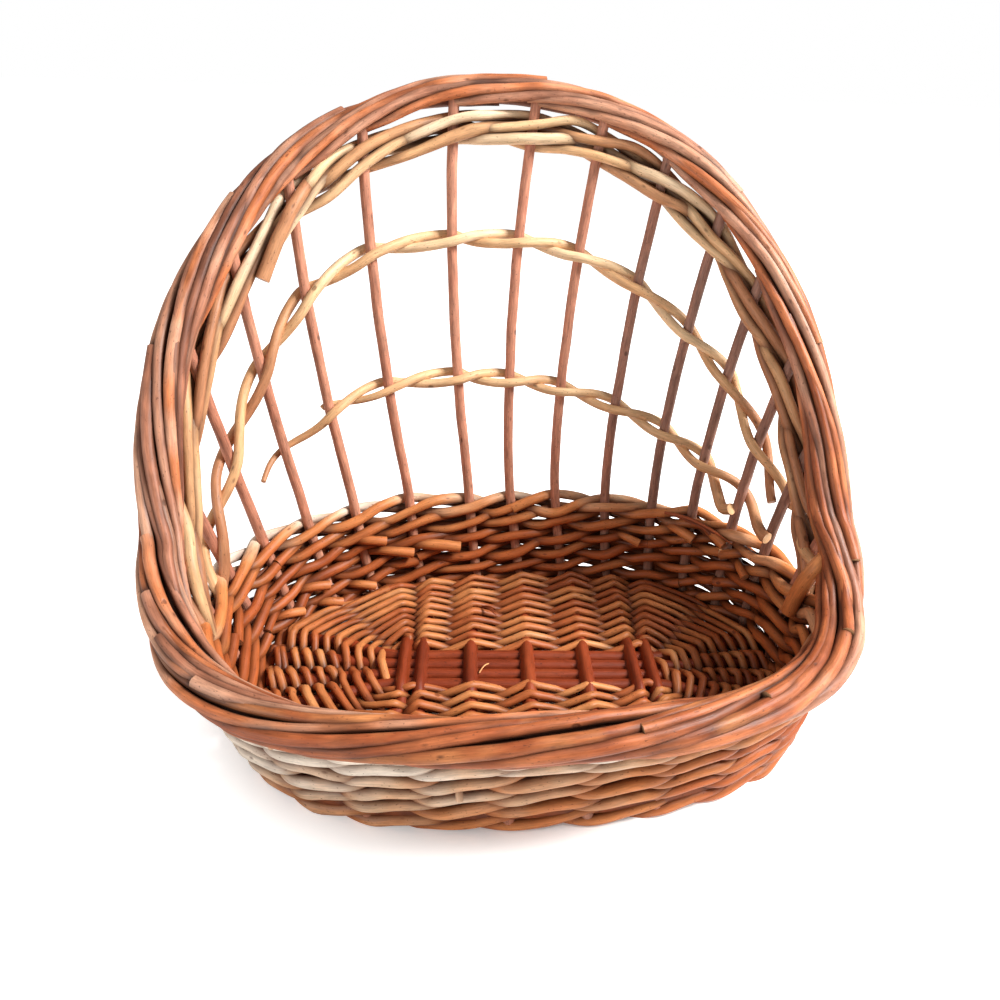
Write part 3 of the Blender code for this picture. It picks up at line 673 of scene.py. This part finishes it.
# A pale splinter lies on the long sticks, and fibres of a cracked rod stand up behind them.
splinter = [(-0.0350, -0.0052, 0.0150), (-0.0314, -0.0010, 0.0172), (-0.0278, 0.0026, 0.0160)]
rods.append(rod(splinter, 0.0005, 1.0))
for spread in (-1.0, 0.0, 1.3):
    fibre = [
        (-0.0270, 0.0655, 0.0190),
        (-0.0222, 0.0600 + 0.0008 * spread, 0.0215 + 0.0006 * spread),
        (-0.0170, 0.0550 + 0.0020 * spread, 0.0205 + 0.0012 * spread),
    ]
    rods.append(rod(fibre, (0.0008, 0.0007, 0.0003), 0.05))
woven("base_weave_willow", rods, base_finish, ["base_weave"],
      sides=8, step=0.0022, wander=0.0008, swelling=0.16)


# ---------------------------------------------------------------------------
# Stakes
# Twenty-seven upright willow rods are pushed into the base's edge. Thirteen
# stand far apart in the open hood, the others end in the low front rim.

HOOD_SHARES = (
    -0.210, -0.173, -0.137, -0.102, -0.062, -0.018,
    0.012, 0.045, 0.082, 0.117, 0.147, 0.178, 0.209,
)
HOOD_TONES = (0.62, 0.74, 0.84, 0.88, 0.80, 0.84, 0.78, 0.80, 0.42, 0.28, 0.24, 0.30, 0.15)
FRONT_STAKES = 14
STAKE_RADIUS = 0.0039
STAKE_FOOT = 0.006
# How far a stake's top runs into the border.
STAKE_PAST = 0.011
BORDER_TOP, BORDER_FRONT = 0.370, 0.100
# Shares of the border's rise from the front to the top, from the back round to the front.
BORDER_FALL = (1.0, 0.94, 0.828, 0.67, 0.49, 0.288, 0.096, 0.0, -0.03, -0.033, -0.022, -0.007, 0.0)
BORDER_HALF_HEIGHT = 0.0112
BORDER_HALF_WIDTH = 0.0145

fine = np.linspace(0, 2 * math.pi, 1441)
RIM_LENGTHS = traced(side_point(fine, RIM_HEIGHT))[1]


def rim_angle(share):
    """The angle at a share of the rim's length, counted from the back."""
    turned = float(np.interp(abs(share), RIM_LENGTHS / RIM_LENGTHS[-1], fine))
    return math.copysign(turned, share)


front_step = (1 + HOOD_SHARES[0] - HOOD_SHARES[-1]) / (FRONT_STAKES + 1)
front_shares = [HOOD_SHARES[-1] + front_step * (k + 1) for k in range(FRONT_STAKES)]
STAKE_ANGLES = np.array([rim_angle(share) for share in HOOD_SHARES + tuple(front_shares)])
STAKES = len(STAKE_ANGLES)
ROUND_NUMBERS = np.arange(-STAKES, 2 * STAKES)
ROUND_ANGLES = np.concatenate([STAKE_ANGLES + 2 * math.pi * k for k in (-1, 0, 1)])


def stake_angle(place):
    """The angle at a place counted in stakes, also between them and past the last."""
    return np.interp(place, ROUND_NUMBERS, ROUND_ANGLES)


def from_back(angle):
    """How far an angle is from the back's middle, the same on both sides."""
    return np.abs((np.asarray(angle, float) + math.pi) % (2 * math.pi) - math.pi)


def border_height(angle):
    """The border's height, smooth through its shares and alike on both sides."""
    last = len(BORDER_FALL) - 1
    place = from_back(angle) / math.pi * last
    first = np.minimum(place.astype(int), last - 1)
    t = place - first
    shares = np.array(BORDER_FALL)
    before, one, two, after = (
        shares[last - np.abs(last - np.abs(first + k))] for k in (-1, 0, 1, 2)
    )
    bend = 2 * before - 5 * one + 4 * two - after + t * (3 * (one - two) + after - before)
    return BORDER_FRONT + (BORDER_TOP - BORDER_FRONT) * (one + 0.5 * t * (two - before + t * bend))


def under_border(angle):
    """Height of the border's underside."""
    step = math.radians(1)
    ahead, behind = angle + step, angle - step
    run = np.linalg.norm(side_point(ahead, RIM_HEIGHT) - side_point(behind, RIM_HEIGHT), axis=-1)
    slope = (border_height(ahead) - border_height(behind)) / run
    return border_height(angle) - BORDER_HALF_HEIGHT * np.hypot(1, slope)


stake_finish = willow("stake willow", [
    (0.21, 0.105, 0.072), (0.33, 0.165, 0.115), (0.45, 0.175, 0.105), (0.58, 0.27, 0.17),
], roughness=0.55, mottling=1.5, streaks=1.1)
for k, angle in enumerate(STAKE_ANGLES):
    heights = np.linspace(STAKE_FOOT, float(under_border(angle)) + STAKE_PAST, 9)
    thickness = STAKE_RADIUS * np.linspace(1.03, 0.95, 9)
    tone = HOOD_TONES[k] if k < len(HOOD_TONES) else 0.3 + 0.4 * chance.random()
    rods = [rod(side_point(angle, heights), thickness, tone)]
    name = f"stake_{k + 1:02d}"
    woven(name + "_willow", rods, stake_finish, [name],
          sides=12, step=0.004, wander=0.0018, swelling=0.12)


# ---------------------------------------------------------------------------
# Low wall
# Courses of waling: three willow rods at a time, each outside two stakes and
# inside the next, close up the side from the base to the low wall's top.

WALL_TOP = 0.081
# For each course, its rods' radius and how far its outer side is tucked in towards the foot.
WALL_RODS = (0.0040, 0.0040, 0.0040, 0.0040, 0.0041, 0.0042)
WALL_TUCKS = (0.0046, 0.0022, 0.0006, 0.0, 0.0, 0.0)
WALL_HALF_COURSE = 0.0036
WALL_OUT = 0.0062
WALL_LOOSE = 0.0012
WALL_UNEVEN = 0.0007
# From here round the front the wall goes up to the border.
FRONT_START = math.radians(100)
# Angle, height, length and radius of the cut ends that stand inwards.
WALL_BUTTS = (
    (-17.3, 0.0416, 0.034, 0.0040), (-6.4, 0.0433, 0.040, 0.0046), (-44.5, 0.0302, 0.036, 0.0038),
    (-29.7, 0.0190, 0.026, 0.0036), (-24.0, 0.0543, 0.030, 0.0038), (-41.9, 0.0137, 0.028, 0.0036),
    (-57.9, 0.0204, 0.030, 0.0036), (63.0, 0.0707, 0.032, 0.0040), (50.8, 0.0649, 0.034, 0.0042),
    (75.5, 0.0560, 0.028, 0.0034), (33.0, 0.0500, 0.026, 0.0032),
)
# Angle and height of the short cut ends that stand out below the border.
STUBS = ((-141.0, 0.080), (-170.0, 0.048))


def wall_top(angle):
    low = under_border(angle) + 0.001
    return np.where(from_back(angle) > FRONT_START, low, np.minimum(WALL_TOP, low))


def wall_height(angle, climb):
    """Height of a rod's middle at a share of the way from the first course to the last."""
    low = WALL_RODS[0] + WALL_HALF_COURSE
    return low + (wall_top(angle) - WALL_RODS[-1] - WALL_HALF_COURSE - low) * climb


def waled(course_height, half_course, first, start, end, weight, out, tone, shade, tuck=0.0):
    """One rod of a waled course. It starts outside the stake numbered first."""
    # Six stations in three stakes: out past two of them, and in behind the third.
    offsets = out * np.array([1.0, 1.08, 1.0, -0.6, -1.04, -0.6, 1.0])
    offsets -= tuck * (offsets > 0)
    lifts = half_course * np.array([1.0, 0.0, -1.0, -1.2, 0.0, 1.2, 1.0])
    places = np.arange(math.ceil(start * 2), math.floor(end * 2) + 1) / 2
    places = np.unique(np.concatenate(([start], places, [end])))
    phase = (places - first) % 3 * 2
    offset = np.interp(phase, range(7), offsets)
    lift = np.interp(phase, range(7), lifts)
    angles = stake_angle(places)
    heights = course_height(places) + lift + WALL_LOOSE * chance.normal(0, 1, len(places))
    lasts = 6 + 3 * chance.random()
    taper = 1.08 - TAPER * ((places / lasts + chance.random()) % 1)
    # Painted light and shade: rods are paler where they pass outside, most of all at the front
    # left, deeper orange where they pass inside, and darker towards the right.
    rightness = np.sin(angles)
    front = 0.3 + 0.7 * np.clip(0.5 - 1.5 * np.cos(angles), 0, 1)
    outside = np.where(offset > 0, front, 0.78) * offset / out
    painted_light_and_shade = shade * outside * (1 - rightness) - 0.12 * (1 + rightness)
    painted_light_and_shade -= 1.2 * shade * np.maximum(outside, 0) * np.maximum(rightness, 0)
    return rod(side_point(angles, heights, offset), weight * taper, tone + painted_light_and_shade)


def wall_butt(degrees, height, run, weight):
    """The thick cut end of a wall rod, which comes through the weave and stands inwards."""
    turn = run / (0.5 * (RIM_HALF_LENGTH + RIM_HALF_DEPTH))
    angles = math.radians(degrees) - turn * np.array([1.0, 0.6, 0.3, 0.0])
    heights = np.maximum(height + 0.003 * np.array([0.2, 0.9, 0.7, 0.0]), 0.012)
    path = side_point(angles, heights, (0.0, -0.0085, -0.0115, -0.0125))
    return rod(path, weight * np.array([0.85, 0.95, 1.0, 1.04]), 0.28 + 0.2 * chance.random())


wall_finish = willow("wall willow", [
    (0.36, 0.080, 0.020), (0.50, 0.130, 0.034), (0.62, 0.225, 0.072), (0.68, 0.42, 0.25),
    (0.82, 0.69, 0.56),
])
rods = []
for course, weight in enumerate(WALL_RODS):
    climb = course / (len(WALL_RODS) - 1)
    waves = chance.random(3) * 2 * math.pi

    def course_height(places):
        uneven = sum(np.sin(places * (k + 1) * 0.9 + waves[k]) for k in range(3))
        return wall_height(stake_angle(places), climb) + WALL_UNEVEN * uneven * (climb > 0)

    shift = chance.integers(0, STAKES)
    for first in range(3):
        begin = int(shift) + first * 10 - STAKES
        # Each rod gets a random tone, and the top courses a paler one: painted light on the wall's
        # top.
        tone = 0.36 + 0.38 * climb ** 4 + 0.22 * chance.random()
        # The shade argument sets how much painted light and shade waled() gives the rods outside
        # and inside.
        rods.append(waled(
            course_height, WALL_HALF_COURSE, begin - 2, begin, begin + STAKES, weight,
            out=WALL_OUT, tone=tone, shade=0.27, tuck=WALL_TUCKS[course],
        ))
# A cracked rod has left dark fibres along the top course at the right.
for spread in (-1.2, -0.4, 0.5, 1.4):
    angles = np.radians([40.0, 47.0, 55.0, 63.0 + 2.0 * spread])
    heights = np.array([0.0790, 0.0795, 0.0765, 0.0705])
    heights += np.array([0.0, 0.0006, 0.0014, 0.0030]) * spread
    path = side_point(angles, heights, (-0.0085, -0.0112, -0.0120, -0.0128))
    rods.append(rod(path, (0.0010, 0.0013, 0.0011, 0.0004), -0.1))
for degrees, height in STUBS:
    heights = height - np.array([0.0, 0.003, 0.007])
    path = side_point(math.radians(degrees), heights, (0.003, 0.0095, 0.0115))
    rods.append(rod(path, 0.0021, 0.72))
# Thin rods inside the weave close it between the lower courses and along the base's edge.
ring = stake_angle(np.linspace(0, STAKES, 8 * STAKES + 1))
for course in (0.35, 1.5, 2.5, 3.5):
    heights = wall_height(ring, course / (len(WALL_RODS) - 1))
    rods.append(rod(side_point(ring, heights, 0.0015), 0.0022, 0.05, 2.3))
rods.append(rod(side_point(ring, 0.0050, -0.0050), 0.0046, 0.15))
# One very thick end stands inwards at the right, where the border comes down to the rim.
angles = np.radians([93.5, 96.0, 96.6, 96.4])
path = side_point(angles, (0.118, 0.109, 0.088, 0.0684), (-0.002, -0.0105, -0.0125, -0.012))
rods.append(rod(path, (0.0050, 0.0054, 0.0054, 0.0056), 0.42))
rods += [wall_butt(*butt) for butt in WALL_BUTTS]
woven("wall_weave_willow", rods, wall_finish, ["wall_weave"],
      sides=8, step=0.0028, wander=0.0016, swelling=0.20)


# ---------------------------------------------------------------------------
# Crossed rows
# Two rows of fitching hold the hood's stakes apart. In each, two pale rods
# cross between the stakes, one outside and one inside every stake.

# A row's height at each hood stake, as a share of the way from the wall to the hood band.
UPPER_SHARES = (.31, .55, .69, .775, .785, .763, .758, .753, .738, .717, .716, .66, .60)
LOWER_SHARES = (.22, .21, .312, .376, .382, .375, .364, .353, .335, .313, .279, .242, .20)
# Places and heights that the rows' tails run through.
UPPER_TAILS = ((-0.5, 0.070), (-0.8, 0.058), (12.35, 0.122), (12.8, 0.110), (13.3, 0.103))
LOWER_TAILS = ((-1, 0.104), (13, 0.082))
BAND_WIDTH = 0.020
ROW_ROD = 0.0035
ROW_SHIFT = 0.0012
ROW_TAPER_RUN = 1.6
ROW_BROWN = 0.45


def band_low(angle):
    return np.maximum(under_border(angle) - BAND_WIDTH, WALL_TOP)


def browned(one, amount, share):
    """The same rod, darker where the share is above 0."""
    return {**one, "tone": one["tone"] - amount * np.clip(share, 0, 1)}


def fitched(shares, span, first_side, ends, tone, tails):
    """A rod of a crossed row, with the radii of its ends and the tails that it follows."""
    quarters = np.arange(math.ceil(span[0] * 4), math.floor(span[1] * 4) + 1) / 4
    places = np.unique(np.concatenate((span, quarters)))
    numbers = np.arange(len(shares))
    heights = WALL_TOP + np.array(shares) * (band_low(stake_angle(numbers)) - WALL_TOP)
    known = sorted(list(zip(numbers, heights)) + list(tails))
    heights = np.interp(places, *zip(*known))
    points, outward = side_frame(stake_angle(places), heights)
    along = np.gradient(points, axis=0)
    along /= np.linalg.norm(along, axis=1)[:, None]
    upward = np.cross(outward, along)
    turn = math.pi * places[:, None]
    inside = -first_side * np.cos(turn)
    # Where a tail goes down into the wall it runs along the wall's own line.
    held = np.clip((points[:, 2:] - WALL_TOP + 0.008) / 0.01, 0, 1)
    path = points - outward * (held * (STAKE_RADIUS + 0.75 * ROW_ROD) * inside)
    rise = 0.78 * first_side * ROW_ROD * np.sin(turn) + ROW_SHIFT * inside * np.abs(inside)
    path += upward * rise
    run = (span[0], span[0] + ROW_TAPER_RUN, span[1] - ROW_TAPER_RUN, span[1])
    return rod(path, np.interp(places, run, (ends[0], ROW_ROD, ROW_ROD, ends[1])), tone)


row_finish = willow("pale row willow", [
    (0.44, 0.19, 0.09), (0.68, 0.38, 0.18), (0.80, 0.54, 0.30), (0.84, 0.65, 0.45),
])
LAST_TAILS = LOWER_TAILS + ((10.9, 0.092),)
for name, shares, span, first_side, ends, tails in (
    ("upper_row_rod_1", UPPER_SHARES, (-0.6, 13.2), 1, (0.0034, 0.0038), UPPER_TAILS),
    ("upper_row_rod_2", UPPER_SHARES, (-0.8, 11.9), -1, (0.0038, 0.0033), UPPER_TAILS),
    ("lower_row_rod_1", LOWER_SHARES, (1.45, 10.95), 1, (0.0018, 0.0045), LAST_TAILS),
    ("lower_row_rod_2", LOWER_SHARES, (2.92, 12.1), -1, (0.0022, 0.0045), LOWER_TAILS),
):
    one = fitched(shares, span, first_side, ends, 0.40 + 0.35 * chance.random(), tails)
    one = browned(one, ROW_BROWN, (np.abs(one["points"][:, 0]) - 0.12) / 0.06)
    woven(name + "_willow", [one], row_finish, [name],
          sides=12, step=0.003, wander=0.0010, swelling=0.12)


# ---------------------------------------------------------------------------
# Hood band
# Two courses of pale waling follow the border's underside round the hood and
# hold the stakes' tops in line.

BAND_ROD = 0.0036
BAND_HALF_COURSE = 0.0036
BAND_OUT = 0.0060
BAND_START, BAND_END = -1.7, 13.7
BAND_TONES = (0.30, 0.85, 0.55, 0.70, 0.20, 0.95)
# The height that its ends dip to, and how its rods turn brown on the way down.
BAND_DIP = 0.066
BAND_BROWN, BAND_BROWN_BELOW, BAND_BROWN_RUN = 0.55, 0.30, 0.13

rods = []
for course in range(2):
    def course_height(places):
        angles = stake_angle(places)
        low, top = band_low(angles), under_border(angles)
        height = low + BAND_ROD + (top - low - 2 * BAND_ROD) * (course + 0.25) / 1.5
        held = eased(np.minimum(places - BAND_START, BAND_END - places) / 0.8)
        return BAND_DIP + (height - BAND_DIP) * held

    for first in range(3):
        begin = BAND_START + 0.3 * chance.random()
        final = BAND_END - 0.3 * chance.random()
        weight = BAND_ROD * (0.92 + 0.18 * chance.random())
        # Its shade argument is waled()'s painted light and shade: here a little darker outside,
        # paler inside, and darker towards the right.
        one = waled(
            course_height, BAND_HALF_COURSE, first + course, begin, final, weight,
            out=BAND_OUT, tone=BAND_TONES[first + 3 * course], shade=-0.04,
        )
        below = BAND_BROWN_BELOW - one["points"][:, 2]
        rods.append(browned(one, BAND_BROWN, below / BAND_BROWN_RUN))
# One thick end is bent back over the fourth stake's top and hangs down inside.
angles = np.radians([-25.5, -28.6, -31.8, -33.6, -36.3, -40.6])
heights = (0.316, 0.309, 0.2987, 0.291, 0.2796, 0.2593)
path = side_point(angles, heights, (0.0, -0.009, -0.0125, -0.0133, -0.0133, -0.0130))
rods.append(rod(path, np.linspace(0.0042, 0.0047, 6), 0.06))
woven("hood_band_willow", rods, row_finish, ["hood_band"],
      sides=10, step=0.0028, wander=0.0012, swelling=0.18)


# ---------------------------------------------------------------------------
# Border
# Every stake's end is bent down and laid over its neighbours, so that four or
# five thick rods lie side by side and turn slowly round the whole rim.

BORDER_ROD = 0.0042
BORDER_OUTSET = 0.003
# Turn round the bundle where a rod comes out, how far it goes on turning, and how loosely.
LAY_START = math.radians(236)
LAY_WHOLE = math.radians(292)
LAY_LOOSE = math.radians(8)
LAY_TONES = (
    0.18, 0.62, 0.28, 0.26, 0.58, 0.26, 0.42, 0.60, 0.34, 0.64, 0.22, 0.68, 0.78, 0.74,
    0.84, 0.74, 0.78, 0.58, 0.92, 0.44, 0.66, 0.36, 0.20, 0.42, 0.28, 0.18, 0.04,
)
# Angle and turn of the thick end, length in stakes, radius and tone of the rods laid on top.
LAID_ENDS = (
    (-38.0, 62, 3.4, 0.0046, 0.52), (-18.0, 72, 3.2, 0.0044, 0.20), (3.0, 80, 3.6, 0.0044, 0.60),
    (-62.0, 50, 2.6, 0.0044, 0.14), (-88.0, 60, 2.6, 0.0038, 0.58), (-97.0, 50, 2.8, 0.0038, 0.22),
    (-108.0, 52, 2.8, 0.0038, 0.18), (-124.0, 60, 3.0, 0.0036, 0.36),
    (171.0, 62, 3.2, 0.0036, 0.68), (150.0, 75, 3.4, 0.0036, 0.78), (118.0, 70, 3.2, 0.0036, 0.76),
    (96.0, 60, 2.8, 0.0038, 0.74), (62.0, 78, 2.8, 0.0042, 0.56), (36.0, 84, 3.2, 0.0042, 0.32),
)

# How far a rod has turned round the bundle at each stake, slower round the low front.
lay_steps = np.interp(
    np.arange(STAKES) + 0.5, (0, 13, 15, 25, STAKES), np.radians([47, 45, 33, 33, 47])
)
lay_sums = np.concatenate(([0], np.cumsum(lay_steps)))
LAY = np.concatenate([lay_sums[:-1] + lay_sums[-1] * k for k in (-1, 0, 1)])


def in_border(places, turns, depth, thickness=BORDER_ROD):
    """Points in the border's bundle: places counted in stakes, turned from outside over the top."""
    angles = stake_angle(places)
    centre, outward = side_frame(angles, border_height(angles))
    centre = centre + outward * BORDER_OUTSET
    ahead, behind = stake_angle(places + 0.05), stake_angle(places - 0.05)
    along = side_point(ahead, border_height(ahead)) - side_point(behind, border_height(behind))
    along /= np.linalg.norm(along, axis=-1)[:, None]
    flat = outward - along * np.sum(outward * along, axis=-1)[:, None]
    flat /= np.linalg.norm(flat, axis=-1)[:, None]
    rise = np.cross(flat, along)
    rise *= np.sign(rise[:, 2])[:, None]
    wide = (BORDER_HALF_WIDTH - thickness) * depth * np.cos(turns)
    high = (BORDER_HALF_HEIGHT - thickness) * depth * np.sin(turns)
    return centre + flat * wide[:, None] + rise * high[:, None]


border_finish = willow("border willow", [
    (0.21, 0.072, 0.038), (0.43, 0.170, 0.095), (0.66, 0.35, 0.22), (0.57, 0.180, 0.066),
    (0.30, 0.070, 0.021), (0.68, 0.27, 0.095),
], mottling=1.3, streaks=0.9)
rods = []
for k, tone in enumerate(LAY_TONES):
    turned = np.linspace(0, LAY_WHOLE * (1 + 0.10 * (chance.random() - 0.5)), 40)
    places = np.interp(LAY[STAKES + k] + turned, LAY, ROUND_NUMBERS)
    run = places - k
    waves = chance.random(2) * 2 * math.pi
    loosely = LAY_LOOSE * (np.sin(run * 1.1 + waves[0]) + 0.6 * np.sin(run * 2.3 + waves[1]))
    weight = BORDER_ROD * (0.92 + 0.20 * chance.random()) * (lay_steps[k] / lay_steps[0]) ** 0.8
    thickness = weight * np.linspace(0.76, 1.10, 40)
    ends = np.interp(turned / turned[-1], (0, 0.06, 0.95, 1), (0.75, 1, 1, 0.72))
    depth = (0.96 + 0.12 * np.sin(run * 1.4 + waves[1])) * ends
    path = in_border(places, LAY_START - turned + loosely, depth, thickness)
    rods.append(rod(path, thickness, tone))
# More rods lie on top of these. Each starts with its thick cut end at an angle round the rim and at
# a turn round the bundle, and runs back to the left and inwards for a number of stakes.
for degrees, turn, lay, weight, tone in LAID_ENDS:
    last = np.interp(math.radians(degrees), ROUND_ANGLES, ROUND_NUMBERS)
    places = np.linspace(last, last - lay, 24)
    turned = np.interp(places + STAKES, ROUND_NUMBERS, LAY)
    turns = math.radians(turn) + 0.8 * (turned[0] - turned)
    thickness = weight * np.linspace(1.0, 0.62, 24)
    depth = np.interp(np.linspace(0, 1, 24), (0, 0.25, 0.8, 1), (1.16, 1.08, 1.0, 0.8))
    rods.append(rod(in_border(places, turns, depth, thickness), thickness, tone))
# Two rods fill the bundle's middle.
core = np.linspace(0, STAKES, 200)
for turn in (0, math.pi):
    rods.append(rod(in_border(core, np.full(200, turn), 0.32), 0.0036, 0.2))
woven("border_willow", rods, border_finish, ["border"],
      sides=10, step=0.003, wander=0.0018, swelling=0.16)
